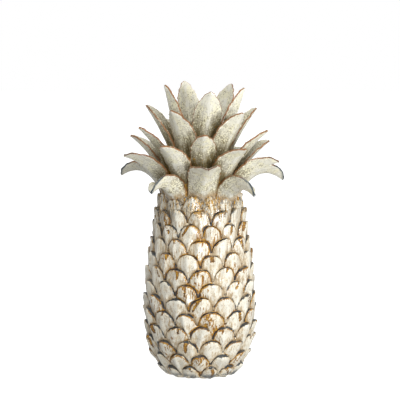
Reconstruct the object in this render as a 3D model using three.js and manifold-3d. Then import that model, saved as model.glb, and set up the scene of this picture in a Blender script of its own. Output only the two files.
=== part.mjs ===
// A glazed ceramic pineapple ornament, fired as one piece: a barrel body covered with staggered rows
// of round-topped scales, and a crown of keeled leaves in rings of five around a stem.
// Millimetres, +Z up, the origin at the middle of the flat foot, the front towards -Y.
import * as THREE from "three";
import { mergeVertices } from "three/addons/utils/BufferGeometryUtils.js";
import Module from "manifold-3d";

// The body, measured to the clay under the scales
const bodyHeight = 224; // from the foot to the neck, where the leaves spring
const bodyRadius = 64; // at the widest of the barrel
const footRadius = 34; // the flat that it stands on
const neckRadius = 46.5;

// The scales
const scaleRows = 13;
const scalesPerRow = 13;
const topRowDrop = 1; // from the neck down to the tips of the top row, along the surface
const rowPitch = 17.4; // from one row of tips to the next, along the surface
const archDrop = 14.5; // from a tip down to where the scale touches its neighbours
const scaleShoulder = 0.92; // the width of a scale's dome, as a share of the space it has
const scaleProud = 6; // how far a tip stands off the clay
const topRowProud = 3.6; // the same for the top row, which lies flat under the leaves
const scaleEdgeDrop = 1.8; // how much lower a scale's sides are than its keel
const scaleStray = 1.6; // how far a tip may stand off its row
const scaleTurn = 0.22; // how far a tip may turn off its even place, as a share of half that space

// The crown
const crownHeight = 132; // from the neck to the tallest leaf tips
const crownLean = 3.5; // of the whole crown, in degrees
const leanBearing = 40; // the way that it leans, in degrees from the front towards +X
const crownRadius = 107; // from the axis to the tips of the lowest leaves
const leavesPerRing = 5;
const leafWidth = 36;
const leafKeelThickness = 5;
const leafRimThickness = 2.4;
const leafRootWidth = 0.88; // how wide a leaf is at its root, as a share of its widest
const leafRootFold = 0.1; // how much of its fold a leaf has at its root, where it lies on the neck
const leafFlattening = 0.45; // how much of a leaf's fold is lost by its tip
const leafSway = 3; // how far a leaf tip may lean sideways
const stemHeight = 78; // of the solid stem that the leaves grow from, above the neck

// How fine the facets are
const archSteps = 3;
const leafSteps = 5;

// One entry for each ring of leaves, from the lowest to the innermost: where a leaf is rooted, the
// point that it is drawn towards as it rises, and where its tip is, each as a share of the crown's
// radius and of its height above the neck. Then its share of the leaf width, and how far its
// margins rise, as a share of its half width. Each ring stands half a leaf space round from the one
// below it: turns is how far each leaf is off its even place, lengths is how much of its full length
// it has, and rolls is how far it is rolled about its keel by its tip. Turns and rolls are in degrees.
const rings = [
  {
    root: [0.43, -0.07], pull: [0.67, 0.3], tip: [1, 0.1], width: 1, fold: 0.75,
    turns: [6, 3, -4, -2, -4], lengths: [0.77, 1.08, 0.97, 1, 0.71], rolls: [50, 18, 0, -18, -50],
  },
  {
    root: [0.41, -0.05], pull: [0.615, 0.3], tip: [0.925, 0.35], width: 1.06, fold: 0.75,
    turns: [4, -3, 4, -2, 3], lengths: [0.9, 1, 1.03, 0.98, 1], rolls: [-14, 12, 0, 0, -12],
  },
  {
    root: [0.375, 0.03], pull: [0.565, 0.35], tip: [0.84, 0.485], width: 0.98, fold: 0.68,
    turns: [-2, 2, -5, 4, 6], lengths: [1, 1, 0.96, 1.02, 1], rolls: [0],
  },
  {
    root: [0.335, 0.14], pull: [0.52, 0.45], tip: [0.77, 0.615], width: 0.9, fold: 0.52,
    turns: [3, -2, 3, -4, 2], lengths: [0.97, 1.03, 1, 1.02, 0.99], rolls: [0],
  },
  {
    root: [0.285, 0.27], pull: [0.455, 0.58], tip: [0.655, 0.795], width: 0.98, fold: 0.66,
    turns: [7, 5, -4, 13, 1], lengths: [1, 1, 1.02, 1, 1], rolls: [0],
  },
  {
    root: [0.235, 0.42], pull: [0.385, 0.73], tip: [0.47, 1], width: 0.92, fold: 0.62,
    turns: [8, 3, -3, -5, 0], lengths: [0.95, 1, 1.01, 1.02, 1], rolls: [0],
  },
  {
    root: [0.1, 0.45], pull: [0.14, 0.63], tip: [0.09, 0.8], width: 0.56, fold: 0.8,
    turns: [4, 6, -5, 4, -3], lengths: [1, 0.96, 1, 0.93, 0.98], rolls: [0],
  },
];

// The stem's outline from the neck to its top, as shares of the neck's radius and the stem's height.
const stemOutline = [
  [1.0, 0.02],
  [0.88, 0.25],
  [0.7, 0.62],
  [0.44, 0.92],
];

const degree = Math.PI / 180;
const neck = new THREE.Vector3(0, 0, bodyHeight);
const leanAxis = new THREE.Vector3(
  Math.cos(degree * leanBearing),
  Math.sin(degree * leanBearing),
  0,
);
const leafStep = Math.PI / leavesPerRing; // half the space between two leaves of a ring
const scaleStep = Math.PI / scalesPerRow; // half the space between two scales of a row

// A hand-made irregularity between -1 and 1, the same each time for the same two whole numbers.
const wobble = (piece, trait) => Math.sin(piece * 2.4 + trait * 1.9 + piece * trait * 0.71);

// A point at an angle round the axis, counted from the front towards +X.
const around = (angle, radius, height) =>
  new THREE.Vector3(radius * Math.sin(angle), -radius * Math.cos(angle), height);

// The clay's outline from the foot's edge to the neck, as radius and height.
const bodyOutline = new THREE.SplineCurve([
  new THREE.Vector2(footRadius, 0),
  new THREE.Vector2(0.65 * bodyRadius, 0.016 * bodyHeight),
  new THREE.Vector2(0.755 * bodyRadius, 0.065 * bodyHeight),
  new THREE.Vector2(0.925 * bodyRadius, 0.165 * bodyHeight),
  new THREE.Vector2(bodyRadius, 0.35 * bodyHeight),
  new THREE.Vector2(0.947 * bodyRadius, 0.6 * bodyHeight),
  new THREE.Vector2(0.5 * neckRadius + 0.467 * bodyRadius, 0.81 * bodyHeight),
  new THREE.Vector2(neckRadius, bodyHeight),
]);
const bodyLength = bodyOutline.getLength();

// The point at an angle that lies `down` below the neck along the outline, and `out` off it.
function onBody(angle, down, out) {
  const share = Math.min(1, Math.max(0, 1 - down / bodyLength));
  const point = bodyOutline.getPointAt(share);
  const along = bodyOutline.getTangentAt(share);
  return around(angle, point.x + out * along.y, point.y - out * along.x);
}

// A scale's tip. Rows are counted from the neck down and places from the front towards +X, and
// every other row stands half a scale round.
function scaleTip(row, place) {
  const seed = row * scalesPerRow + ((place + scalesPerRow) % scalesPerRow);
  const stagger = row % 2 ? 0 : 1;
  return {
    angle: scaleStep * (2 * place + stagger + scaleTurn * wobble(seed, 1)),
    down: topRowDrop + row * rowPitch + scaleStray * wobble(seed, 2),
  };
}

// The place of the scale in the row above or below that stands half a scale to one side.
const beside = (row, place, side) => place + (row % 2 ? 0 : 1) - (side < 0 ? 1 : 0);

// How far a scale of a row stands off the clay, by the distance down from its tip and the share of
// its half width from its keel.
const relief = (row, down, share) =>
  (row ? scaleProud : topRowProud) * (1 - down / (2 * rowPitch)) - scaleEdgeDrop * share * share;

// The skin of the body: every scale with its keel, its arched lip and the step under the lip, then
// the foot below and the stem above.
function body() {
  const corners = [];
  const face = (side, a, b, c) => corners.push(...(side > 0 ? [a, b, c] : [a, c, b]));
  // An arch runs round its dome to the shoulder, and the last step goes from there to the joint.
  const bend = (step) => 0.5 * Math.PI * Math.min(1, step / (archSteps - 1));
  const drop = (step) => archDrop * (1 - Math.cos(bend(step)));
  const spread = (step) => (step < archSteps ? scaleShoulder * Math.sin(bend(step)) : 1);

  // A point of a scale's arch, from its tip to where it touches the next scale on that side.
  const arch = (row, place, side, step, out) => {
    const [own, next] = [scaleTip(row, place), scaleTip(row, place + side)];
    return onBody(
      own.angle + 0.5 * (next.angle - own.angle) * spread(step),
      own.down + 0.5 * (next.down - own.down) * spread(step) + drop(step),
      out,
    );
  };
  const lip = (row, place, side, step) =>
    arch(row, place, side, step, relief(row, drop(step), spread(step)));
  // The foot of the step under the lip, on the two scales above, or on the bare neck.
  const under = (row, place, side, step) => {
    const out = row === 0 ? 0 : relief(row - 1, rowPitch + drop(step), 1 - spread(step));
    return arch(row, place, side, step, out);
  };
  const keel = (row, place, down) => {
    const own = scaleTip(row, place);
    return onBody(own.angle, own.down + down, relief(row, down, 0));
  };
  // A point level with a scale's keel, or with the joint beside it, at a fixed radius and height.
  const level = (row, place, side, radius, height) => {
    const stagger = row % 2 ? 0 : 1;
    return around(scaleStep * (2 * place + stagger + side), radius, height);
  };

  for (let row = 0; row < scaleRows; row++)
    for (let place = 0; place < scalesPerRow; place++)
      for (const side of [-1, 1]) {
        const crest = keel(row, place, 0.8 * archDrop);
        const joint = lip(row, place, side, archSteps);
        for (let step = 0; step < archSteps; step++) {
          const [a, b] = [lip(row, place, side, step), lip(row, place, side, step + 1)];
          const [c, d] = [under(row, place, side, step), under(row, place, side, step + 1)];
          face(side, crest, b, a);
          face(side, a, b, d);
          face(side, a, d, c);
        }
        if (row + 1 < scaleRows) {
          const hollow = keel(row, place, rowPitch + 0.35 * archDrop);
          const below = beside(row, place, side);
          face(side, crest, hollow, joint);
          face(side, hollow, under(row + 1, below, -side, 0), joint);
          for (let step = 0; step < archSteps; step++) {
            const [a, b] = [
              under(row + 1, below, -side, step),
              under(row + 1, below, -side, step + 1),
            ];
            face(side, hollow, b, a);
          }
        } else {
          const middle = level(row, place, 0, footRadius, 0);
          const corner = level(row, place, side, footRadius, 0);
          face(side, crest, middle, joint);
          face(side, middle, corner, joint);
          face(side, new THREE.Vector3(), corner, middle);
        }
        if (row === 0) {
          const ring = stemOutline.map(([out, up]) => [
            level(row, place, 0, out * neckRadius, bodyHeight + up * stemHeight),
            level(row, place, side, out * neckRadius, bodyHeight + up * stemHeight),
          ]);
          const [middle, corner] = ring[0];
          for (let step = 0; step < archSteps; step++) {
            const [a, b] = [under(row, place, side, step), under(row, place, side, step + 1)];
            face(side, step ? corner : middle, a, b);
          }
          face(side, middle, under(row, place, side, 1), corner);
          for (let i = 0; i + 1 < ring.length; i++) {
            face(side, ring[i][0], ring[i][1], ring[i + 1][1]);
            face(side, ring[i][0], ring[i + 1][1], ring[i + 1][0]);
          }
          const [last, edge] = ring[ring.length - 1];
          face(side, last, edge, around(0, 0, bodyHeight + stemHeight));
        }
      }
  return new THREE.BufferGeometry().setFromPoints(corners);
}

// A blade's width at a share of its length from the root, as a share of its widest.
function bladeWidth(along) {
  const widest = 0.52;
  const rise = Math.sin((0.5 * Math.PI * along) / widest);
  if (along < widest) return leafRootWidth + (1 - leafRootWidth) * rise;
  const past = (along - widest) / (1 - widest);
  return (1 - past ** 1.8) ** 0.7;
}

// One leaf, as sections from its root in the stem to its tip: an almond-shaped blade folded along
// its keel, following a curve.
function leaf(ring, place) {
  const form = rings[ring];
  const seed = ring * leavesPerRing + place;
  const stagger = ring % 2 ? 0 : 1;
  const own = (list) => list[place % list.length];
  const angle = leafStep * (2 * place + stagger) + degree * own(form.turns);
  const spot = ([out, up]) =>
    new THREE.Vector2(out * crownRadius, bodyHeight + up * crownHeight);
  const root = spot(form.root);
  const grown = (end) => root.clone().lerp(spot(end), own(form.lengths));
  const line = new THREE.QuadraticBezierCurve(root, grown(form.pull), grown(form.tip));
  const sway = leafSway * wobble(seed, 4);
  const twist = degree * (8 * wobble(seed, 5) + own(form.rolls));
  const halfWidth = 0.5 * leafWidth * form.width * (1 + 0.05 * wobble(seed, 6));
  const sideways = around(angle + 0.5 * Math.PI, 1, 0);

  const loops = [];
  for (let i = 0; i <= leafSteps; i++) {
    const along = Math.sin((0.5 * Math.PI * i) / leafSteps);
    const middle = line.getPoint(along);
    const run = line.getTangent(along);
    const half = halfWidth * bladeWidth(along);
    const keel = 0.5 * leafKeelThickness * (1 - 0.45 * along);
    const rim = 0.5 * leafRimThickness;
    // A point of the section, `across` from the keel and `off` the blade on its outer side.
    const edge = (across, off) => {
      const [c, s] = [Math.cos(twist * along), Math.sin(twist * along)];
      const lift = across * s + off * c;
      return around(angle, middle.x + lift * run.y, middle.y - lift * run.x)
        .addScaledVector(sideways, across * c - off * s + sway * along * along)
        .sub(neck)
        .applyAxisAngle(leanAxis, degree * crownLean)
        .add(neck);
    };
    const opening = 1 - (1 - leafRootFold) * Math.max(0, 1 - along / 0.4) ** 2;
    const fold = form.fold * half * opening * (1 - leafFlattening * along);
    const section = [
      edge(-half, -fold - rim),
      edge(-half, -fold + rim),
      edge(-0.55 * half, keel - 0.4 * fold),
      edge(0, keel),
      edge(0.55 * half, keel - 0.4 * fold),
      edge(half, -fold + rim),
      edge(half, -fold - rim),
      edge(0, -keel),
    ];
    loops.push(i < leafSteps ? section : [edge(0, 0)]);
  }
  return loops;
}

// The closed skin over loops of points that run from a root to a tip, where the last loop is one
// point.
function skin(loops) {
  const corners = [];
  const sides = loops[0].length;
  const last = loops.length - 1;
  for (let i = 0; i < last; i++)
    for (let k = 0; k < sides; k++) {
      const next = (k + 1) % sides;
      const [a, b] = [loops[i][k], loops[i][next]];
      const [c, d] = [loops[i + 1][k], loops[i + 1][next]];
      if (i + 1 < last) corners.push(a, b, d, a, d, c);
      else corners.push(a, b, loops[last][0]);
    }
  for (let k = 1; k + 1 < sides; k++) corners.push(loops[0][0], loops[0][k + 1], loops[0][k]);
  return new THREE.BufferGeometry().setFromPoints(corners);
}

const wasm = await Module();
wasm.setup();

// A closed geometry as a solid that can be joined.
function solid(geometry) {
  const merged = mergeVertices(geometry, 1e-4);
  return new wasm.Manifold(
    new wasm.Mesh({
      numProp: 3,
      vertProperties: new Float32Array(merged.attributes.position.array),
      triVerts: new Uint32Array(merged.index.array),
    }),
  );
}

// Body, stem and leaves are one firing, so they are joined in one surface.
let ornament = solid(body());
for (let ring = 0; ring < rings.length; ring++)
  for (let place = 0; place < leavesPerRing; place++)
    ornament = ornament.add(solid(skin(leaf(ring, place))));

const mesh = ornament.getMesh();
const geometry = new THREE.BufferGeometry();
geometry.setAttribute("position", new THREE.Float32BufferAttribute(mesh.vertProperties, 3));
geometry.setIndex(new THREE.Uint32BufferAttribute(mesh.triVerts, 1));
geometry.computeVertexNormals();

const glazedCeramic = new THREE.MeshStandardMaterial({
  color: 0xd8d2bf,
  roughness: 0.42,
  metalness: 0,
});

const pineapple = new THREE.Mesh(geometry, glazedCeramic);
pineapple.name = "pineapple";

const group = new THREE.Group();
group.add(pineapple);
export default group;
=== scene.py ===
"""Glaze, fine relief and studio view of a ceramic pineapple ornament.

Metres, +Z up, the front towards -Y. The scales and leaves lie on the same curves as the solid. Here
they get what only shows up close: rounded lips, keels, clefts, wavy margins and the broken glaze.
"""

import math

import bpy
import numpy as np
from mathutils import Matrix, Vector
from mathutils.bvhtree import BVHTree


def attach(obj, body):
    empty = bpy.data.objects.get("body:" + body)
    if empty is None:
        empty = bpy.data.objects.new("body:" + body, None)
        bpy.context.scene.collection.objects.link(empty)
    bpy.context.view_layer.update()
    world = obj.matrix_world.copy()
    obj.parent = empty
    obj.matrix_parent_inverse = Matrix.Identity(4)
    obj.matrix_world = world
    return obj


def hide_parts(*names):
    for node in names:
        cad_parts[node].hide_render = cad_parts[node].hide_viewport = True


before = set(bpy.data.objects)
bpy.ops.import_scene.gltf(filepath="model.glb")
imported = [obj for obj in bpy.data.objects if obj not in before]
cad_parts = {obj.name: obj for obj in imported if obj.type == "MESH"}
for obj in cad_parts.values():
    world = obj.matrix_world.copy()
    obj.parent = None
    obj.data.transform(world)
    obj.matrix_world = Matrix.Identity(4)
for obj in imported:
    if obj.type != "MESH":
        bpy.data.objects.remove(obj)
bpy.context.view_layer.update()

MM = 0.001

# The body, measured to the clay under the scales
BODY_HEIGHT = 224 * MM
BODY_RADIUS = 64 * MM
FOOT_RADIUS = 34 * MM
NECK_RADIUS = 46.5 * MM

# The scales
SCALE_ROWS = 13
SCALES_PER_ROW = 13
TOP_ROW_DROP = 1 * MM
ROW_PITCH = 17.4 * MM
ARCH_DROP = 14.5 * MM
SCALE_PROUD = 6 * MM
TOP_ROW_PROUD = 3.6 * MM
SCALE_EDGE_DROP = 1.8 * MM
SCALE_STRAY = 1.6 * MM
SCALE_TURN = 0.22
SCALE_SHOULDER = 0.92  # the width of a scale's dome, as a share of the space it has
DOME_TURN = 0.8  # the part of the way round an arch that is dome

# The crown
CROWN_HEIGHT = 132 * MM
CROWN_LEAN = math.radians(3.5)
LEAN_BEARING = math.radians(40)
CROWN_RADIUS = 107 * MM
LEAVES_PER_RING = 5
LEAF_WIDTH = 36 * MM
LEAF_KEEL_THICKNESS = 5 * MM
LEAF_RIM_THICKNESS = 2.4 * MM
LEAF_ROOT_WIDTH = 0.88  # as a share of its widest
LEAF_KEEL_THINNING = 0.45  # of its thickness, from root to tip
LEAF_RIM_THINNING = 0.35
LEAF_ROOT_FOLD = 0.1
LEAF_ROOT_REACH = 0.4  # the share of its length over which a leaf opens from its root
LEAF_FLATTENING = 0.45
LEAF_SWAY = 3 * MM
LEAF_TWIST = 8  # degrees that a leaf may turn about its keel by its tip
LEAF_WIDTH_STRAY = 0.05
LEAF_WIDEST = 0.52  # the share of its length at which a leaf is widest
STEM_HEIGHT = 78 * MM

# The fine relief
LIP_UNEVENNESS = 1.5 * MM  # how far one side of a scale's dome may stand above the other
LIP_ROUNDING = 2.6 * MM  # how far from its lip a scale starts to round over
LIP_FALL = 1.0 * MM  # how much lower the rounding leaves the lip
CREVICE_WIDTH = 1.6 * MM  # of the groove where a scale goes under the ones below it
CREVICE_FALL = 0.7 * MM
KEEL_RISE = 2 * MM
KEEL_WIDTH = 0.2  # as a share of the scale's half width, as the next two are
KEEL_STRAY = 0.18
FACET_WIDTH = 0.6  # of the slopes on both sides of the keel
CLEFT_LENGTH = 17 * MM  # of the fold that runs down from a scale's tip
CLEFT_WIDTH = 1.7 * MM
CLEFT_FALL = 1.4 * MM
CLEFT_SLANT = 0.45  # how far it runs sideways on its way down, as a share of that way
CLEFT_SWAY = 1.2 * MM  # from side to side, on its way down
CLEFT_SWAY_LENGTH = 4 * MM
CLEFT_STEP = 0.9 * MM  # how much higher one side of it is than the other
CLEFT_STEP_WIDTH = 1.5 * MM
SCALE_TILT = 1.8 * MM  # how far a scale may lean to one side
SCALE_FOLDS = 0.45 * MM
FOLD_WAVE = 9  # radians of the folds' wave across half a scale
FOLD_SLANT = 90  # radians of it for each metre down
CLAY_UNEVENNESS = 0.6 * MM
CLAY_SWELL = 7 * MM  # from one swell of the uneven clay to the next
NECK_FLUTES = 0.8 * MM
NECK_FLUTE_COUNT = 29
NECK_SWELL = 5 * MM
CRUST_DEPTHS = (10 * MM, 34 * MM)  # below the neck, where its crust starts to thin and where it ends
MARGIN_WAVE = 1.0 * MM
MARGIN_RUFFLE = 0.9 * MM  # of a leaf's margin, up and down
MARGIN_TAPER = 6 * MM  # the half width of a leaf under which its margins wave less
LEAF_UNEVENNESS = 0.3 * MM
LEAF_SWELL = 6 * MM
FOOT_RING_WIDTH = 5 * MM
FOOT_RECESS = 1 * MM
FOOT_ROUNDING = 0.7 * MM
RECESS_ROUNDING = 0.5 * MM

# The spread of the stains, and of the painted shade and highlights on the leaves, over the shape. Bearings
# and widths of the rust runs are in radians.
FRONT_RUN = (0, 0.24)
BACK_RUNS = ((2.2, 0.22), (-2, 0.2))
FRONT_RUN_FADE = (140 * MM, 200 * MM)  # below the neck
NECK_RUN_REACH = 20 * MM
LEAF_RUST_REACH = 20 * MM
LEAF_GLAZE_START = (2 * MM, 26 * MM)  # from its root, where the sage of a low leaf sets in
LEAF_RIDGE_WIDTH = 1.8 * MM
TIP_SHADE_REACH = 1 / 60  # of a metre, from a leaf's margin inwards
# Painted shade: slate on the rims and margins near the tips of the lower, drooping leaves
TIP_SHADE = (1, 0.45, 0.2, 0.12)  # of the tips in each ring of leaves; the last is for all further ones

# What the glaze reads where no lip or crevice is near, the same on the underside, under a lip, and
# along a scale's own lip
FAR_OFF = 6 * MM
FAR_OFF_BELOW = 9 * MM
UNDER_LIP = 0.2 * MM
LIP_LINE_THINNING = 0.7 * MM  # by so much the dark line there is thinner than in the crevices

# How fine the mesh is
SCALE_COLUMNS = 10  # on each half of a scale
SCALE_LEVELS = 12  # from a scale's lip down to the scales below
LIP_STEPS = 30  # of half a lip, where the distance to it is measured
NECK_LEVELS = 8
LEAF_LENGTHS = 36
LEAF_ACROSS = 14
OCCLUSION_RAYS = 14
OCCLUSION_REACH = 45 * MM
OCCLUSION_START = 0.6 * MM  # off the surface
OCCLUSION_SMOOTHINGS = 2

# One entry for each ring of leaves, from the lowest to the innermost: where a leaf is rooted, the
# point that it is drawn towards as it rises, and where its tip is, each as a share of the crown's
# radius and of its height above the neck. Then its share of the leaf width, how far its margins
# rise, how far each leaf is off its even place, its share of its full length, and how far it is
# rolled about its keel by its tip. Turns and rolls are in degrees.
RINGS = [
    {
        "root": (0.43, -0.07), "pull": (0.67, 0.3), "tip": (1, 0.1), "width": 1, "fold": 0.75,
        "turns": (6, 3, -4, -2, -4), "lengths": (0.77, 1.08, 0.97, 1, 0.71), "rolls": (50, 18, 0, -18, -50),
    },
    {
        "root": (0.41, -0.05), "pull": (0.615, 0.3), "tip": (0.925, 0.35), "width": 1.06, "fold": 0.75,
        "turns": (4, -3, 4, -2, 3), "lengths": (0.9, 1, 1.03, 0.98, 1), "rolls": (-14, 12, 0, 0, -12),
    },
    {
        "root": (0.375, 0.03), "pull": (0.565, 0.35), "tip": (0.84, 0.485), "width": 0.98, "fold": 0.68,
        "turns": (-2, 2, -5, 4, 6), "lengths": (1, 1, 0.96, 1.02, 1), "rolls": (0, 0, 0, 0, 0),
    },
    {
        "root": (0.335, 0.14), "pull": (0.52, 0.45), "tip": (0.77, 0.615), "width": 0.9, "fold": 0.52,
        "turns": (3, -2, 3, -4, 2), "lengths": (0.97, 1.03, 1, 1.02, 0.99), "rolls": (0, 0, 0, 0, 0),
    },
    {
        "root": (0.285, 0.27), "pull": (0.455, 0.58), "tip": (0.655, 0.795), "width": 0.98, "fold": 0.66,
        "turns": (7, 5, -4, 13, 1), "lengths": (1, 1, 1.02, 1, 1), "rolls": (0, 0, 0, 0, 0),
    },
    {
        "root": (0.235, 0.42), "pull": (0.385, 0.73), "tip": (0.47, 1), "width": 0.92, "fold": 0.62,
        "turns": (8, 3, -3, -5, 0), "lengths": (0.95, 1, 1.01, 1.02, 1), "rolls": (0, 0, 0, 0, 0),
    },
    {
        "root": (0.1, 0.45), "pull": (0.14, 0.63), "tip": (0.09, 0.8), "width": 0.56, "fold": 0.8,
        "turns": (4, 6, -5, 4, -3), "lengths": (1, 0.96, 1, 0.93, 0.98), "rolls": (0, 0, 0, 0, 0),
    },
]

# The stem's outline above the neck, as shares of the neck's radius and the stem's height.
STEM_OUTLINE = [(1.0, 0.02), (0.88, 0.25), (0.7, 0.62), (0.44, 0.92)]

SCALE_STEP = math.pi / SCALES_PER_ROW
LEAF_STEP = math.pi / LEAVES_PER_RING


def wobble(piece, trait):
    """A hand-made irregularity between -1 and 1, the same each time for the same two numbers."""
    return np.sin(piece * 2.4 + trait * 1.9 + piece * trait * 0.71)


def lumps(points, size):
    """Soft unevenness of clay between about -1 and 1, with swells of about this size."""
    x, y, z = (points[..., k] / size for k in range(3))
    coarse = np.sin(x * 2.1 + 1.3 * np.sin(y * 1.7 + z)) * np.cos(z * 1.9 + 1.1 * np.sin(x * 1.3))
    fine = np.sin(y * 4.3 + 1.7 * np.sin(z * 3.1)) * np.cos(x * 3.7 - z * 4.1)
    return 0.7 * coarse + 0.3 * fine


def around(angle, radius, height):
    """Points at an angle round the axis, counted from the front towards +X."""
    radius, height = radius + 0 * angle, height + 0 * angle
    return np.stack([radius * np.sin(angle), -radius * np.cos(angle), height], axis=-1)


def smooth_line(points, steps=160):
    """Dense points along the smooth curve that passes through the given points."""
    points = np.array(points, float)
    ends = np.vstack([points[:1], points, points[-1:]])
    t = np.linspace(0, 1, steps, endpoint=False)[:, None]
    runs = []
    for before, start, end, after in zip(ends, ends[1:], ends[2:], ends[3:]):
        leave, arrive = (end - before) / 2, (after - start) / 2
        runs.append(
            (2 * start - 2 * end + leave + arrive) * t**3
            + (3 * end - 3 * start - 2 * leave - arrive) * t**2
            + leave * t
            + start
        )
    return np.vstack([*runs, points[-1:]])


# The clay's outline from the foot's edge to the neck, as radius and height.
OUTLINE = smooth_line(
    [
        (FOOT_RADIUS, 0),
        (0.65 * BODY_RADIUS, 0.016 * BODY_HEIGHT),
        (0.755 * BODY_RADIUS, 0.065 * BODY_HEIGHT),
        (0.925 * BODY_RADIUS, 0.165 * BODY_HEIGHT),
        (BODY_RADIUS, 0.35 * BODY_HEIGHT),
        (0.947 * BODY_RADIUS, 0.6 * BODY_HEIGHT),
        (0.5 * NECK_RADIUS + 0.467 * BODY_RADIUS, 0.81 * BODY_HEIGHT),
        (NECK_RADIUS, BODY_HEIGHT),
    ]
)
OUTLINE_REACH = np.concatenate([[0], np.cumsum(np.linalg.norm(np.diff(OUTLINE, axis=0), axis=1))])
OUTLINE_SLOPE = np.gradient(OUTLINE, OUTLINE_REACH, axis=0)
BODY_LENGTH = OUTLINE_REACH[-1]


def on_body(angle, down, out):
    """Points that lie `down` below the neck along the outline, and `out` off it."""
    reach = np.clip(BODY_LENGTH - down, 0, BODY_LENGTH)
    radius, height = (np.interp(reach, OUTLINE_REACH, OUTLINE[:, k]) for k in (0, 1))
    run, rise = (np.interp(reach, OUTLINE_REACH, OUTLINE_SLOPE[:, k]) for k in (0, 1))
    return around(angle, radius + out * rise, np.maximum(height - out * run, 0))


def stagger(row):
    """How many half places every other row or ring is set round."""
    return 0 if row % 2 else 1


def scale_number(row, place):
    """Each scale's own number, also where its place is counted past the end of the row."""
    return row * SCALES_PER_ROW + place % SCALES_PER_ROW


def scale_tip(row, place):
    """The angle of a scale's tip, and how far it is below the neck."""
    seed = scale_number(row, place)
    angle = SCALE_STEP * (2 * place + stagger(row) + SCALE_TURN * wobble(seed, 1))
    return angle, TOP_ROW_DROP + row * ROW_PITCH + SCALE_STRAY * wobble(seed, 2)


def on_arch(row, place, side, turn):
    """A point of a scale's arch: a round dome down to its shoulder, then the joint with its neighbour.

    Gives its angle, how far it is below the neck, its share of the scale's half width from the keel
    and how far it is below the scale's tip. The turn is 0 at the tip and 1 at the joint.
    """
    seed = scale_number(row, place)
    own, near = scale_tip(row, place), scale_tip(row, place + side)
    shoulder = SCALE_SHOULDER + 0.03 * wobble(seed, 11)
    bend = 0.5 * np.pi * np.minimum(turn / DOME_TURN, 1)
    past_dome = np.clip((turn - DOME_TURN) / (1 - DOME_TURN), 0, 1)
    share = shoulder * np.sin(bend) + (1 - shoulder) * past_dome
    uneven = wobble(seed, 14) * side + 0.7 * wobble(seed, 15) + 0.25 * np.sin(8 * side * turn + seed)
    fall = ARCH_DROP * (1 - np.cos(bend)) + LIP_UNEVENNESS * uneven * np.sin(2 * bend)
    angle, down = (a + 0.5 * (b - a) * share for a, b in zip(own, near))
    return angle, down + fall, share, fall


def relief(row, down, share):
    """How far a scale stands off the clay."""
    proud = SCALE_PROUD if row else TOP_ROW_PROUD
    return proud * (1 - down / (2 * ROW_PITCH)) - SCALE_EDGE_DROP * share**2


def ease(x, start, end):
    """A soft step from 0 at the start to 1 at the end."""
    t = np.clip((x - start) / (end - start), 0, 1)
    return t * t * (3 - 2 * t)


class Shell:
    """Vertices with the traits that the glaze reads, and the faces between them."""

    TRAITS = (
        "edge", "crevice", "cleft", "keel", "low", "run", "crust", "leaf", "chance", "scorch", "foot",
    )

    def __init__(self):
        self.points, self.grain, self.traits, self.faces = [], [], [], []
        self.count = 0

    def add(self, points, grain=None, **traits):
        """Adds vertices, and gives their numbers in the same arrangement."""
        shape = points.shape[:-1]
        size = int(np.prod(shape))
        self.points.append(points.reshape(-1, 3))
        self.grain.append((points if grain is None else grain).reshape(-1, 3))
        columns = [np.broadcast_to(traits.get(name, 0), shape).reshape(-1) for name in self.TRAITS]
        self.traits.append(np.stack(columns, axis=-1))
        numbers = self.count + np.arange(size).reshape(shape)
        self.count += size
        return numbers

    def quads(self, grid):
        """Faces between the rows and columns of a grid of vertex numbers."""
        ring = [grid[:-1, :-1], grid[1:, :-1], grid[1:, 1:], grid[:-1, 1:]]
        self.faces += np.stack([c.reshape(-1) for c in ring], axis=-1).tolist()

    def fan(self, ring, middle):
        """Faces from a closed ring of vertex numbers to one in its middle."""
        self.faces += [[a, b, middle] for a, b in zip(ring, np.roll(ring, -1))]

    def arrays(self):
        """All vertices, their places in the grain, and their traits."""
        return np.vstack(self.points), np.vstack(self.grain), np.vstack(self.traits)


def rust_run(angle, down):
    """How freely rust has run down the body: at the front, in two places behind, and at the neck."""
    turned = np.arctan2(np.sin(angle), np.cos(angle))

    def streak(bearing, width):
        return np.exp(-(((turned - bearing) / width) ** 2))

    front = streak(*FRONT_RUN) * (1 - 0.5 * ease(down, *FRONT_RUN_FADE))
    behind = 0.8 * sum(streak(*run) for run in BACK_RUNS)
    at_neck = 0.7 * np.exp(-((down / NECK_RUN_REACH) ** 2))
    return front + behind + at_neck


def distance_to(x, y, line_x, line_y):
    """The distance from each point to the nearest point of a dense line."""
    return np.hypot(x[..., None] - line_x, y[..., None] - line_y).min(axis=-1)


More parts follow.
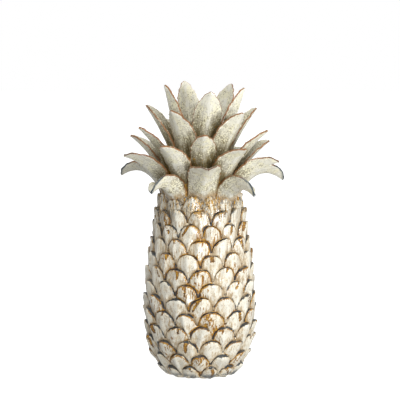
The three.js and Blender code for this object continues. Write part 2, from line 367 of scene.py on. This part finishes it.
def scale_details(row, place, u, down, lip, crevice):
    """What a scale's own shape adds to its relief, and the masks of its cleft and its keel.

    Here `u` runs from -1 to 1 across the scale, and `down` is counted from its tip.
    """
    seed = scale_number(row, place)
    middle = (1 - u**2) ** 2
    half_width = SCALE_STEP * BODY_RADIUS
    keel_at = KEEL_STRAY * wobble(seed, 3) + 0.14 * wobble(seed, 4) * down / ROW_PITCH
    keel = np.exp(-(((u - keel_at) / KEEL_WIDTH) ** 2)) * (0.7 + 0.3 * wobble(seed, 5))
    facets = (FACET_WIDTH - np.abs(u - keel_at)) * (0.7 + 0.3 * wobble(seed, 19))
    wave = FOLD_WAVE + 3 * wobble(seed, 12)
    folds = np.sin(u * wave + 4 * wobble(seed, 13) + FOLD_SLANT * down)
    length = CLEFT_LENGTH * (0.75 + 0.35 * wobble(seed, 6))
    width = CLEFT_WIDTH * (1 + 0.35 * wobble(seed, 20))
    sway = CLEFT_SWAY * np.sin(down / CLEFT_SWAY_LENGTH + 3 * wobble(seed, 16))
    slant = CLEFT_SLANT * wobble(seed, 7) * down + sway
    across = (u - 0.2 * wobble(seed, 17)) * half_width - slant
    strength = ease(wobble(seed, 8), -0.7, 0.1)
    reach = 1 - ease(down, 0.55 * length, length)
    slit = np.exp(-((across / width) ** 2)) * reach
    step = CLEFT_STEP * np.tanh(across / CLEFT_STEP_WIDTH) * reach * np.sign(wobble(seed, 18))
    rounding = LIP_FALL * (1 - np.clip(lip / LIP_ROUNDING, 0, 1)) ** 2
    groove = CREVICE_FALL * (1 - ease(crevice, 0, CREVICE_WIDTH))
    tilt = SCALE_TILT * wobble(seed, 9) * u * middle
    modelled = KEEL_RISE * (0.7 * keel + facets) + SCALE_FOLDS * folds - CLEFT_FALL * slit * strength
    added = (modelled + step * strength) * middle + tilt - rounding - groove
    return added, slit * strength, keel * middle


def scale(shell, row, place, turns, levels):
    """One scale, with the step under its lip; gives its vertex numbers, column by column."""
    last = row == SCALE_ROWS - 1
    side, turn = np.where(turns < 0, -1, 1), np.abs(turns)
    below = place + stagger(row) - (side < 0)
    top_angle, top_down, top_share, top_fall = on_arch(row, place, side, turn)
    low_angle, low_down, low_share, low_fall = on_arch(row + 1, below, -side, 1 - turn)
    if last:
        low_angle = SCALE_STEP * (2 * place + stagger(row) + side * (1 - low_share))
        low_down = np.full_like(turn, BODY_LENGTH)
        low_fall = low_down - scale_tip(row, place)[1] - ROW_PITCH

    def between(top, low):
        return top[:, None] + (low - top)[:, None] * levels

    angle, down = between(top_angle, low_angle), between(top_down, low_down)
    u = between(side * top_share, side * (1 - low_share))
    fall = between(top_fall, ROW_PITCH + low_fall)

    # The distances to the scale's own lip, and to the lips of the two scales that it goes under
    half_width = SCALE_STEP * BODY_RADIUS
    round_turns = np.concatenate([-np.linspace(1, 0, LIP_STEPS), np.linspace(0, 1, LIP_STEPS)])
    own_line, left_line, right_line = (
        on_arch(*spot, np.sign(round_turns).astype(int), np.abs(round_turns))[2:]
        for spot in ((row, place), (row + 1, int(below[0])), (row + 1, int(below[-1])))
    )
    x, sides = u * half_width, np.sign(round_turns)
    lip = distance_to(x, fall, own_line[0] * sides * half_width, own_line[1])
    crevice = np.minimum(
        distance_to(x, fall, (left_line[0] * sides - 1) * half_width, left_line[1] + ROW_PITCH),
        distance_to(x, fall, (right_line[0] * sides + 1) * half_width, right_line[1] + ROW_PITCH),
    )
    if last:
        crevice = BODY_LENGTH - down
    added, slit, keel = scale_details(row, place, u, fall, lip, crevice)
    out = relief(row, fall, np.abs(u)) + added
    if last:
        out = out * (1 - levels**3)
    uneven = CLAY_UNEVENNESS * lumps(on_body(angle, down, out), CLAY_SWELL) * (1 - levels**6 * last)
    points = on_body(angle, down, out + uneven)

    under = relief(row - 1, ROW_PITCH + top_fall, 1 - top_share) - CREVICE_FALL if row else 0 * turn
    chance = 0.5 + 0.5 * wobble(scale_number(row, place), 10)
    run, crust = rust_run(angle, down), 1 - ease(down, *CRUST_DEPTHS)
    numbers = shell.add(
        points,
        edge=lip,
        crevice=np.minimum(crevice, lip + LIP_LINE_THINNING),
        cleft=slit,
        keel=keel,
        chance=chance,
        low=1 - np.clip(out / SCALE_PROUD, 0, 1),
        run=run,
        crust=crust,
    )
    steps = np.array([0.4, 0.8])  # of the height of the step under a lip
    rises = under[:, None] + (out[:, :1] - under[:, None]) * steps
    wall = on_body(angle[:, :1] + 0 * rises, down[:, :1] + 0 * rises, rises)
    wall_traits = {"edge": 0, "chance": chance, "low": 1}
    wall_numbers = shell.add(
        wall, crevice=UNDER_LIP * steps, run=run[:, :1], crust=crust[:, :1], **wall_traits
    )
    foot = shell.add(
        on_body(angle[:, 0], down[:, 0], under), run=run[:, 0], crust=crust[:, 0], **wall_traits
    )
    return np.hstack([foot[:, None], wall_numbers, numbers])


def body(shell):
    """The skin of the body: the scales, the steps under their lips, the neck, the stem, the foot."""
    turns = np.linspace(-1, 1, 2 * SCALE_COLUMNS + 1)
    even = np.linspace(0, 1, SCALE_LEVELS + 1)
    levels = 0.5 * (1 - np.cos(np.pi * even)) / 2 + 0.5 * even
    patches = {}
    for row in range(SCALE_ROWS):
        for place in range(SCALES_PER_ROW):
            patches[row, place] = scale(shell, row, place, turns, levels)

    for row in range(SCALE_ROWS):
        for place in range(SCALES_PER_ROW):
            patches[row, place][0] = patches[row, (place - 1) % SCALES_PER_ROW][-1]
    for row in range(SCALE_ROWS - 1):
        for place in range(SCALES_PER_ROW):
            upper = patches[row, place]
            right = (place + stagger(row)) % SCALES_PER_ROW
            left = (right - 1) % SCALES_PER_ROW
            # The left half of the lower right scale, and the right half of the lower left one
            patches[row + 1, right][: SCALE_COLUMNS + 1, 0] = upper[SCALE_COLUMNS:, -1]
            patches[row + 1, left][SCALE_COLUMNS:, 0] = upper[: SCALE_COLUMNS + 1, -1]
    for patch in patches.values():
        shell.quads(patch[::-1])
    neck(shell, patches, turns)
    foot_ring(shell, patches)


def neck(shell, patches, turns):
    """The fluted neck over the top row, and the stem between the leaves."""
    w = np.linspace(0, 1, NECK_LEVELS + 1)[1:]
    grids = []
    for place in range(SCALES_PER_ROW):
        side = np.where(turns < 0, -1, 1)
        start_angle, start_down, share, _ = on_arch(0, place, side, np.abs(turns))
        even = SCALE_STEP * (2 * place + 1 + side * share)
        angle = start_angle[:, None] + (even - start_angle)[:, None] * w
        down = start_down[:, None] * (1 - w)
        flute = np.sin(NECK_FLUTE_COUNT * angle + 1.5 * np.sin(3 * angle)) * (1 - w**6)
        out = NECK_FLUTES * (0.6 * flute + 0.7 * lumps(on_body(angle, down, 0), NECK_SWELL))
        collar = shell.add(
            on_body(angle, down, out),
            edge=FAR_OFF,
            crevice=0.5 * FAR_OFF,
            chance=0.5,
            low=0.8,
            run=rust_run(angle, down),
            crust=1,
        )
        rings = []
        for (r0, h0), (r1, h1) in zip(STEM_OUTLINE, STEM_OUTLINE[1:]):
            for t in (0, 0.5):
                rings.append((r0 + (r1 - r0) * t, h0 + (h1 - h0) * t))
        rings.append(STEM_OUTLINE[-1])
        stem = np.stack(
            [around(even, r * NECK_RADIUS, BODY_HEIGHT + h * STEM_HEIGHT) for r, h in rings], axis=1
        )
        stem_numbers = shell.add(stem, edge=FAR_OFF, crevice=FAR_OFF, leaf=0.5, chance=0.5)
        grids.append(np.hstack([patches[0, place][:, :1], collar, stem_numbers]))
    for place in range(SCALES_PER_ROW):
        grids[place][0] = grids[place - 1][-1]
    for grid in grids:
        shell.quads(grid)
    top = np.array([[0, 0, BODY_HEIGHT + STEM_HEIGHT]])
    apex = shell.add(top, edge=FAR_OFF, leaf=1, chance=0.5)[0]
    shell.fan(np.concatenate([g[:-1, -1] for g in grids]), apex)


def foot_ring(shell, patches):
    """The flat ring that the ornament stands on, and the shallow recess inside it."""
    last = SCALE_ROWS - 1
    rim = np.concatenate([patches[last, place][:-1, -1] for place in range(SCALES_PER_ROW)])
    points = np.vstack(shell.points)[rim]
    angle = np.arctan2(points[:, 0], -points[:, 1])
    grid = [rim]
    traits = {"edge": FAR_OFF_BELOW, "crevice": FAR_OFF_BELOW, "foot": 1}
    inner = FOOT_RADIUS - FOOT_RING_WIDTH
    for radius, height in (
        (FOOT_RADIUS - FOOT_ROUNDING, 0),
        (inner + RECESS_ROUNDING, 0),
        (inner, 0.3 * RECESS_ROUNDING),
        (inner - 2 * RECESS_ROUNDING, FOOT_RECESS),
        (0.5 * inner, FOOT_RECESS),
        (4 * MM, FOOT_RECESS),
    ):
        grid.append(shell.add(around(angle, radius, height), **traits))
    grid = np.stack(grid, axis=1)
    shell.quads(np.vstack([grid, grid[:1]])[::-1])
    middle = shell.add(np.array([[0, 0, FOOT_RECESS]]), **traits)[0]
    shell.fan(grid[::-1, -1], middle)


def blade_width(along):
    """A blade's width at a share of its length from the root, as a share of its widest."""
    rise = np.sin(0.5 * np.pi * np.minimum(along, LEAF_WIDEST) / LEAF_WIDEST)
    rising = LEAF_ROOT_WIDTH + (1 - LEAF_ROOT_WIDTH) * rise
    past = np.clip((along - LEAF_WIDEST) / (1 - LEAF_WIDEST), 0, 1)
    return np.where(along < LEAF_WIDEST, rising, (1 - past**1.8) ** 0.7)


def nibbles(distance, seed):
    """The hand-cut waviness of a leaf margin between -1 and 1, along a distance in metres."""
    x = distance / MM
    return (
        0.45 * np.sin(x * 0.62 + 5 * seed)
        + 0.35 * np.sin(x * 1.04 + 3 * seed + 1.2 * np.sin(x * 0.21))
        + 0.2 * np.sin(x * 1.9 + 7 * seed)
    )


def leaf(shell, ring, place):
    """One leaf: an almond-shaped blade folded along its keel, rooted in the stem."""
    form = RINGS[ring]
    seed = ring * LEAVES_PER_RING + place
    angle = LEAF_STEP * (2 * place + stagger(ring)) + math.radians(form["turns"][place])
    crown = np.array([CROWN_RADIUS, CROWN_HEIGHT])
    neck_level = np.array([0, BODY_HEIGHT])
    root, pull, tip = (np.array(form[k]) * crown + neck_level for k in ("root", "pull", "tip"))
    pull, tip = (root + (p - root) * form["lengths"][place] for p in (pull, tip))

    along = np.sin(0.5 * np.pi * np.linspace(0, 1, LEAF_LENGTHS + 1))[:, None]
    line = (1 - along) ** 2 * root + 2 * along * (1 - along) * pull + along**2 * tip
    run = 2 * (1 - along) * (pull - root) + 2 * along * (tip - pull)
    run /= np.linalg.norm(run, axis=1, keepdims=True)
    lengths = np.linalg.norm(np.diff(line, axis=0), axis=1)
    distance = np.concatenate([[0], np.cumsum(lengths)])[:, None]

    widest = LEAF_WIDTH * form["width"] * (1 + LEAF_WIDTH_STRAY * wobble(seed, 6))
    half = 0.5 * widest * blade_width(along)
    keel = 0.5 * LEAF_KEEL_THICKNESS * (1 - LEAF_KEEL_THINNING * along)
    rim = 0.5 * LEAF_RIM_THICKNESS * (1 - LEAF_RIM_THINNING * along)
    opening = 1 - (1 - LEAF_ROOT_FOLD) * np.maximum(0, 1 - along / LEAF_ROOT_REACH) ** 2
    fold = form["fold"] * half * opening * (1 - LEAF_FLATTENING * along)

    # The section runs over the outer side from one margin to the other, and back along the inner
    spread = np.sin(0.5 * np.pi * np.linspace(-1, 1, LEAF_ACROSS + 1))
    outer = np.clip(spread, -0.97, 0.97)
    across = np.concatenate([outer, [1], outer[::-1], [-1]])[None]
    face = np.concatenate([np.ones(len(outer)), [0], -np.ones(len(outer)), [0]])[None]
    side = np.abs(across)
    thick = keel + (rim - keel) * side**2
    curl = np.where(face >= 0, side**1.3, side**1.1)
    margin = np.where(across > 0, nibbles(distance, seed), nibbles(distance, seed + 0.5))
    taper = ease(half, 0, MARGIN_TAPER)
    ruffle = MARGIN_RUFFLE * nibbles(0.6 * distance, seed + 0.3) * across * side**3
    sideways = across * (half + MARGIN_WAVE * margin * taper)
    off = face * thick - fold * curl + ruffle * taper

    twist = math.radians(LEAF_TWIST * wobble(seed, 5) + form["rolls"][place]) * along
    lift = sideways * np.sin(twist) + off * np.cos(twist)
    level = sideways * np.cos(twist) - off * np.sin(twist) + LEAF_SWAY * wobble(seed, 4) * along**2
    out = line[:, :1] + lift * run[:, 1:]
    up = line[:, 1:] - lift * run[:, :1]
    sidelong, outward = around(np.array(angle + np.pi / 2), 1, 0), around(np.array(angle), 1, 0.4)
    points = around(angle + 0 * out, out, up) + level[..., None] * sidelong
    points = points + LEAF_UNEVENNESS * lumps(points, LEAF_SWELL)[..., None] * outward
    points = leaned(points)

    # Glaze streaks run along the leaf, so its length counts less than its width
    apart = seed * 0.05 + 0.01 * face
    grain = np.stack([sideways, 0.14 * distance + 0 * off, apart + 0 * off], axis=-1)
    chance = 0.5 + 0.5 * wobble(seed, 10)
    # How much painted shade darkens the rim and margin near this leaf's tip
    scorch = TIP_SHADE[min(ring, len(TIP_SHADE) - 1)] * ease(along, 0.45, 1)
    leafy = ease(distance, *LEAF_GLAZE_START) if ring < 2 else 1
    numbers = shell.add(
        points,
        grain=grain,
        edge=(1 - side) * half,
        crevice=2 * MM + 0.5 * distance,
        keel=np.exp(-((side * half / LEAF_RIDGE_WIDTH) ** 2)),
        leaf=leafy,
        low=1 - along,
        run=1 - ease(distance, 0, LEAF_RUST_REACH),
        chance=chance,
        scorch=scorch,
    )
    shell.quads(np.hstack([numbers, numbers[:, :1]])[::-1])
    ends = np.stack([points[0].mean(axis=0), points[-1].mean(axis=0)])
    root_end, tip_end = shell.add(ends, grain=ends, edge=0, leaf=1, chance=chance)
    shell.fan(numbers[0][::-1], root_end)
    shell.fan(numbers[-1], tip_end)


def leaned(points):
    """The points with the crown's lean about the middle of the neck."""
    axis = np.array([math.cos(LEAN_BEARING), math.sin(LEAN_BEARING), 0])
    middle = np.array([0, 0, BODY_HEIGHT])
    arm = points - middle
    c, s = math.cos(CROWN_LEAN), math.sin(CROWN_LEAN)
    return middle + arm * c + np.cross(axis, arm) * s + (arm @ axis)[..., None] * axis * (1 - c)


def recesses(mesh):
    """How shut in each vertex is, from 0 in the open to 1, by rays off the surface."""
    count = len(mesh.vertices)
    tree = BVHTree.FromPolygons(
        [v.co for v in mesh.vertices], [p.vertices[:] for p in mesh.polygons], epsilon=0
    )
    golden = math.pi * (3 - math.sqrt(5))
    heights = (np.arange(OCCLUSION_RAYS) + 0.5) / OCCLUSION_RAYS
    flat = np.sqrt(heights)
    turns = golden * np.arange(OCCLUSION_RAYS)
    dome = np.stack([flat * np.cos(turns), flat * np.sin(turns), np.sqrt(1 - heights)], axis=1)
    rays = [Vector(ray) for ray in dome]
    shut = np.zeros(count)
    for i, vertex in enumerate(mesh.vertices):
        turn = vertex.normal.to_track_quat("Z", "Y")
        start = vertex.co + vertex.normal * OCCLUSION_START
        for ray in rays:
            hit = tree.ray_cast(start, turn @ ray, OCCLUSION_REACH)[3]
            if hit is not None:
                shut[i] += 1 - hit / OCCLUSION_REACH
    shut /= OCCLUSION_RAYS
    edges = np.zeros(2 * len(mesh.edges), int)
    mesh.edges.foreach_get("vertices", edges)
    a, b = edges.reshape(-1, 2).T
    for _ in range(OCCLUSION_SMOOTHINGS):
        total, near = shut.copy(), np.ones(count)
        np.add.at(total, a, shut[b])
        np.add.at(total, b, shut[a])
        np.add.at(near, a, 1)
        np.add.at(near, b, 1)
        shut = total / near
    return shut


def store(mesh, name, values, kind="FLOAT", field="value"):
    """Keeps a trait of the vertices on the mesh, where the glaze reads it."""
    data = mesh.attributes.new(name, kind, "POINT").data
    data.foreach_set(field, values.astype(np.float32).ravel())


def pineapple():
    """The whole ornament as one mesh, with its traits as attributes."""
    shell = Shell()
    body(shell)
    for ring in range(len(RINGS)):
        for place in range(LEAVES_PER_RING):
            leaf(shell, ring, place)
    points, grain, traits = shell.arrays()
    used, flat = np.unique(np.concatenate([np.array(f) for f in shell.faces]), return_inverse=True)
    faces, at = [], 0
    for face in shell.faces:
        faces.append([int(k) for k in flat[at : at + len(face)]])
        at += len(face)

    mesh = bpy.data.meshes.new("pineapple")
    mesh.from_pydata(points[used].tolist(), [], faces)
    mesh.validate()
    mesh.shade_smooth()
    for name, column in zip(Shell.TRAITS, traits[used].T):
        store(mesh, name, column)
    store(mesh, "grain", grain[used], "FLOAT_VECTOR", "vector")
    store(mesh, "hollow", recesses(mesh))
    thing = bpy.data.objects.new("pineapple_glazed", mesh)
    bpy.context.scene.collection.objects.link(thing)
    return thing


class Value:
    """A number on a surface, as a node's socket. Sums with it add the Math nodes."""

    def __init__(self, recipe, socket):
        self.recipe, self.socket = recipe, socket

    def math(self, operation, *numbers):
        return self.recipe.node("ShaderNodeMath", {"operation": operation}, dict(enumerate(numbers)))

    def __add__(self, other):
        return self.math("ADD", self, other)

    def __sub__(self, other):
        return self.math("SUBTRACT", self, other)

    def __rsub__(self, other):
        return self.math("SUBTRACT", other, self)

    def __mul__(self, other):
        return self.math("MULTIPLY", self, other)

    __radd__, __rmul__ = __add__, __mul__

    def limited(self):
        """The number kept between 0 and 1."""
        return self.math("MINIMUM", self.math("MAXIMUM", self, 0), 1)

    def step(self, start, end):
        """A soft step from 0 at the start to 1 at the end."""
        settings = {"interpolation_type": "SMOOTHSTEP"}
        bounds = {"Value": self, "From Min": start, "From Max": end}
        return self.recipe.node("ShaderNodeMapRange", settings, bounds)


class Recipe:
    """A material or a world, whose nodes are added by what they make."""

    def __init__(self, owner, shader="Principled BSDF"):
        owner.use_nodes = True
        self.owner, self.tree = owner, owner.node_tree
        self.shader = self.tree.nodes[shader]

    def put(self, socket, value):
        """Links a value to a socket, or sets the number or colour on it."""
        if isinstance(value, Value):
            self.tree.links.new(value.socket, socket)
        elif hasattr(value, "__len__") and len(socket.default_value) > len(value):
            socket.default_value = (*value, 1)
        else:
            socket.default_value = value

    def node(self, kind, settings=None, inputs=None, output=0):
        """Adds a node, and gives one of its outputs. Inputs go by name, or by number."""
        node = self.tree.nodes.new(kind)
        for name, value in (settings or {}).items():
            setattr(node, name, value)
        sockets = [s for s in node.inputs if s.enabled]
        for key, value in (inputs or {}).items():
            socket = sockets[key] if isinstance(key, int) else next(s for s in sockets if s.name == key)
            self.put(socket, value)
        given = [s for s in node.outputs if s.enabled]
        found = given[output] if isinstance(output, int) else next(s for s in given if s.name == output)
        return Value(self, found)

    def trait(self, name, output="Fac"):
        """A trait of the mesh's vertices, spread over its faces."""
        return self.node("ShaderNodeAttribute", {"attribute_name": name}, output=output)

    def noise(self, place, size, detail=2, roughness=0.5):
        """Cloudy unevenness with swells of about this size, around 0.5."""
        inputs = {"Vector": place, "Scale": 1 / size, "Detail": detail, "Roughness": roughness}
        return self.node("ShaderNodeTexNoise", None, inputs)

    def blend(self, under, over, mask):
        """One colour over another where the mask is 1."""
        settings = {"data_type": "RGBA"}
        return self.node("ShaderNodeMix", settings, {"Factor": mask, "A": under, "B": over})

    def finish(self, **looks):
        """Sets or links the shader's own sockets, and gives the material or world."""
        for name, value in looks.items():
            self.put(self.shader.inputs[name.replace("_", " ").title()], value)
        return self.owner


# Glaze and stain colours, and the colours of painted shade and highlights, as linear light
SAGE_PALE = (0.92, 0.88, 0.66)
SAGE_DEEP = (0.38, 0.305, 0.13)
OLIVE_FLECK_AND_SHADOW = (0.13, 0.09, 0.03)
# The white of the painted highlights, and of the pale streaks in the neck's crust
WHITE_STREAK_AND_HIGHLIGHT = (0.9, 0.88, 0.77)
RIM_RUST = (0.38, 0.165, 0.05)
SLATE = (0.05, 0.07, 0.08)
IVORY = (0.78, 0.68, 0.49)
TAUPE = (0.4, 0.285, 0.155)
TAN = (0.5, 0.33, 0.15)
CHARCOAL = (0.055, 0.068, 0.075)
UMBER = (0.07, 0.032, 0.01)
RUST = (0.27, 0.115, 0.012)
AMBER = (0.66, 0.35, 0.02)
BISCUIT = (0.56, 0.43, 0.31)


def glazed_ceramic():
    """Sage glaze on leaves, ivory on scales, broken to rust and dark in recesses, with painted shade and
    highlights.
    """
    r = Recipe(bpy.data.materials.new("glazed_ceramic"))
    place = r.node("ShaderNodeTexCoord", output="Object")
    grain = r.trait("grain", "Vector")
    edge, crevice, cleft, keel = (r.trait(name) for name in ("edge", "crevice", "cleft", "keel"))
    hollow, low, run, crust = (r.trait(name) for name in ("hollow", "low", "run", "crust"))
    chance, scorch, is_foot = (r.trait(name) for name in ("chance", "scorch", "foot"))
    level = r.node("ShaderNodeSeparateXYZ", None, {0: place}, "Z")

    drawn = r.node("ShaderNodeVectorMath", {"operation": "MULTIPLY"}, {0: place, 1: (1, 1, 0.2)})
    clouds = r.noise(place, 26 * MM, 3)
    patches = r.noise(place, 8 * MM, 3, 0.55)
    flecks = r.noise(place, 1.8 * MM, 2, 0.6)
    dots = r.noise(place, 0.9 * MM, 1)
    is_leaf = (r.trait("leaf") + patches * 0.8 - 0.4).step(0.2, 0.8)

    # The leaves
    streaks = r.noise(grain, 1.8 * MM, 3, 0.7)
    # Painted shade: the sage deepens where the leaf is shut in. It also deepens along the leaf's streaks
    # and flecks and towards its root.
    shade = (hollow * 1.5 + low * 0.75 + clouds * 0.7 + streaks * 4.4 + flecks * 1.6 - 3.85).step(0, 1)
    sage = r.blend(SAGE_PALE, SAGE_DEEP, shade)
    dusted = (flecks * 1.1 + streaks * 0.6 + hollow * 0.5 + patches * 0.3 + low * 0.12).step(1.06, 1.16)
    # Olive flecks, and painted shadow in the deepest gaps between the leaves
    sage = r.blend(sage, OLIVE_FLECK_AND_SHADOW, (dusted * 0.65 + hollow.step(0.45, 0.9) * 0.35).limited())
    # Painted highlights: paler where the leaf lies open, and along its keel
    leaf_highlight = (1 - hollow * 3).limited() * (patches + streaks * 0.6 - low * 0.15).step(0.6, 0.85)
    keel_highlight = keel * (1 - hollow * 2).limited() * patches.step(0.35, 0.6)
    sage = r.blend(sage, WHITE_STREAK_AND_HIGHLIGHT, (leaf_highlight * 0.8 + keel_highlight * 0.8).limited())
    run_in = (run * 0.4 + hollow * 0.5 + patches * 1.2 + dots * 0.3).step(1.08, 1.25)
    sage = r.blend(sage, AMBER, run_in * 0.8)
    rim = (1 - edge.step(0.2 * MM, 1.0 * MM)) * (flecks * 0.8 + patches * 0.5).step(0.4, 0.6)
    # Painted shade: near the tips of the lower leaves the rim line turns slate, and slate spreads in from
    # the margin
    rim_colour = r.blend(RIM_RUST, SLATE, (scorch + dots * 0.5 - 0.3).step(0.2, 0.6))
    sage = r.blend(sage, rim_colour, rim)
    shaded_tip = (scorch + patches * 0.6 - edge * (1 / TIP_SHADE_REACH)).step(0.95, 1.25)
    sage = r.blend(sage, SLATE, shaded_tip * 0.6)

    # The scales
    lines = r.noise(drawn, 2 * MM, 3, 0.65)
    # Taupe in the glaze's streaks and clouds, with painted shade where the surface is shut in and where it
    # lies low. Painted light makes the glaze paler towards the foot; it is also paler at the neck.
    paler = (1 - level.step(10 * MM, 60 * MM)) * 0.6 + crust * 0.4
    tone_and_shade = lines * 2.4 + low * 0.5 + hollow * 0.8 + clouds * 1.1 + patches * 0.8 - paler - 2.0
    ivory = r.blend(IVORY, TAUPE, tone_and_shade.step(0, 1))
    ivory = r.blend(ivory, TAN, (flecks * 0.7 + dots * 0.5 + run * 0.1).step(0.6, 0.7) * 0.55)
    # Painted highlights where the scales lie open and high, and along their keels
    scale_highlight = (patches * 0.6 + (1 - lines) * 0.8 - hollow * 0.6 - low * 0.15).step(0.5, 0.7)
    ivory = r.blend(ivory, WHITE_STREAK_AND_HIGHLIGHT, (scale_highlight * 0.75 + keel * flecks.step(0.4, 0.6) * 0.5).limited())

    # Rust in the valleys and the clefts and under the lips
    stray = (flecks - 0.5) * (5 * MM)
    near_lip = 1 - (edge + stray).step(0.7 * MM, 1.9 * MM)
    valley = 1 - (crevice + stray).step(1 * MM, 3 * MM)
    wetness = patches * 0.9 + clouds * 0.5 + chance * 0.5 + run * 0.35 - 0.1
    wet = wetness.step(0.93, 1.05)
    runs = r.noise(drawn, 2.4 * MM, 3)
    drips = (runs + flecks * 0.2).step(0.63, 0.68)
    soaked = near_lip * wet + valley * wet + cleft * 1.6 + drips * wetness.step(1.0, 1.25)
    soaked = soaked + valley * run * patches.step(0.42, 0.55) * 0.9
    stain = (soaked + flecks * 0.9 + lines * 0.5 - 0.75).step(0.35, 0.6)
    rust = r.blend(AMBER, RUST, (lines * 0.6 + flecks * 0.6 + dots * 0.3).step(0.6, 0.8))
    cleft_side = (cleft * (1 - cleft) * 4).step(0.75, 1)
    scorched = 1 - (crevice + stray).step(0.3 * MM, 1.4 * MM)
    darkened = cleft_side * flecks * 1.2 + scorched * 0.7 + low * 0.25 + flecks * 0.4
    rust = r.blend(rust, UMBER, darkened.step(0.6, 1.0))
    ivory = r.blend(ivory, rust, stain)

    # Slate outlines, specks, and charcoal where the surface lies lowest
    line_edge = crevice - (patches - 0.49) * (7 * MM) - (flecks - 0.5) * (2.4 * MM)
    outline = (1 - line_edge.step(0.5 * MM, 0.9 * MM)) * (clouds + flecks * 0.6).step(0.45, 0.65)
    outline_colour = r.blend(CHARCOAL, UMBER, (wet * 0.25 + flecks).step(0.64, 0.84))
    ivory = r.blend(ivory, outline_colour, outline * 0.95)
    ivory = r.blend(ivory, UMBER, dots.step(0.64, 0.69) * 0.55)
    charcoal_where_low = (low + flecks * 0.6 + patches * 0.4 - crust * 0.3).step(1.38, 1.5)
    ivory = r.blend(ivory, CHARCOAL, charcoal_where_low * 0.8)
    foot_band = (1 - (level + stray).step(4 * MM, 11 * MM)) * (patches + flecks * 0.5).step(0.65, 0.8)
    ivory = r.blend(ivory, CHARCOAL, foot_band * 0.85)

    # The crust of the neck
    crusty = crust * (patches + flecks * 0.5).step(0.5, 0.8)
    ivory = r.blend(ivory, SAGE_DEEP, crusty * (runs + lines * 0.5).step(0.7, 0.85) * 0.45)
    neck_rust = r.blend(AMBER, UMBER, (flecks + lines * 0.5).step(0.75, 0.9))
    ivory = r.blend(ivory, neck_rust, crusty * (runs + flecks * 0.4 + run * 0.12).step(0.79, 0.84))
    ivory = r.blend(ivory, CHARCOAL, crusty * (1 - runs + flecks * 0.4).step(0.72, 0.78) * 0.85)
    ivory = r.blend(ivory, WHITE_STREAK_AND_HIGHLIGHT, crusty * (1 - lines + dots * 0.4).step(0.7, 0.8) * 0.9)

    colour = r.blend(ivory, sage, is_leaf)
    colour = r.blend(colour, BISCUIT, is_foot * flecks.step(0.2, 0.5))

    fine = r.noise(place, 0.5 * MM, 2)
    ribs = lines * 0.9 + runs * crust * 2.5
    height = streaks * is_leaf * 1.4 + ribs * (1 - is_leaf) + patches * 0.6 + flecks * 0.3 + fine * 0.15
    bump = r.node("ShaderNodeBump", None, {"Strength": 0.9, "Distance": 1.1 * MM, "Height": height})
    rough = 0.34 + hollow * 0.3 + flecks * 0.12 + is_foot * 0.35
    coat = (1 - is_foot) * 0.55
    return r.finish(
        base_color=colour, roughness=rough, normal=bump, coat_weight=coat, coat_roughness=0.1
    )


def ground():
    """A plain white floor, so wide that its edge is out of sight."""
    size = 12
    mesh = bpy.data.meshes.new("floor")
    corners = [(-size, -size, 0), (size, -size, 0), (size, size, 0), (-size, size, 0)]
    mesh.from_pydata(corners, [], [(0, 1, 2, 3)])
    floor = bpy.data.objects.new("floor", mesh)
    bpy.context.scene.collection.objects.link(floor)
    r = Recipe(bpy.data.materials.new("floor_paper"))
    pale, white = (0.9, 0.9, 0.9), (1, 1, 1)
    paper = r.finish(base_color=pale, roughness=0.9, emission_color=white, emission_strength=0.9)
    mesh.materials.append(paper)
    floor.visible_diffuse = floor.visible_glossy = False


def lamp(name, place, aim, size, power):
    """A round white lamp that faces the point it is aimed at."""
    light = bpy.data.lights.new(name, "AREA")
    light.shape, light.size, light.energy = "DISK", size, power
    thing = bpy.data.objects.new(name, light)
    bpy.context.scene.collection.objects.link(thing)
    thing.location = place
    thing.rotation_mode = "QUATERNION"
    thing.rotation_quaternion = (Vector(aim) - Vector(place)).to_track_quat("-Z", "Y")


SURROUND_LIGHT = 0.42  # of the white surround on the ornament; it is seen as pure white


def studio():
    """A key lamp from the right, soft lamps overhead and low at the front, and a white surround."""
    r = Recipe(bpy.data.worlds.new("surround"), "Background")
    seen = r.node("ShaderNodeLightPath", output="Is Camera Ray")
    light = {"Value": seen, "To Min": SURROUND_LIGHT, "To Max": 1}
    strength = r.node("ShaderNodeMapRange", None, light)
    bpy.context.scene.world = r.finish(color=(1, 1, 1), strength=strength)
    bpy.context.scene.view_settings.view_transform = "Standard"
    heart, foot = (0, 0, 0.2), (0, 0, 0.07)
    lamp("key", place=(1.45, -0.95, 0.3), aim=heart, size=0.3, power=15)
    lamp("overhead", place=(-0.25, -0.6, 1.7), aim=heart, size=0.7, power=13)
    lamp("low", place=(0.5, -1.35, 0.08), aim=foot, size=0.4, power=10)


def camera():
    """A long lens, a little above the ornament."""
    distance, elevation, aim_height = 1.8, math.radians(7), 0.18
    pitch_up = math.radians(1.11)  # from the aim point to the middle of the picture
    focal_length, sensor_width = 131.4, 36  # millimetres, as lenses are named
    lens = bpy.data.cameras.new("front_camera")
    lens.lens, lens.sensor_width = focal_length, sensor_width
    thing = bpy.data.objects.new("front_camera", lens)
    bpy.context.scene.collection.objects.link(thing)
    thing.location = (0, -distance * math.cos(elevation), aim_height + distance * math.sin(elevation))
    thing.rotation_euler = (math.pi / 2 - elevation + pitch_up, 0, 0)
    bpy.context.scene.camera = thing


ornament = pineapple()
ornament.data.materials.append(glazed_ceramic())
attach(ornament, "root")
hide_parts("pineapple")
ground()
studio()
camera()
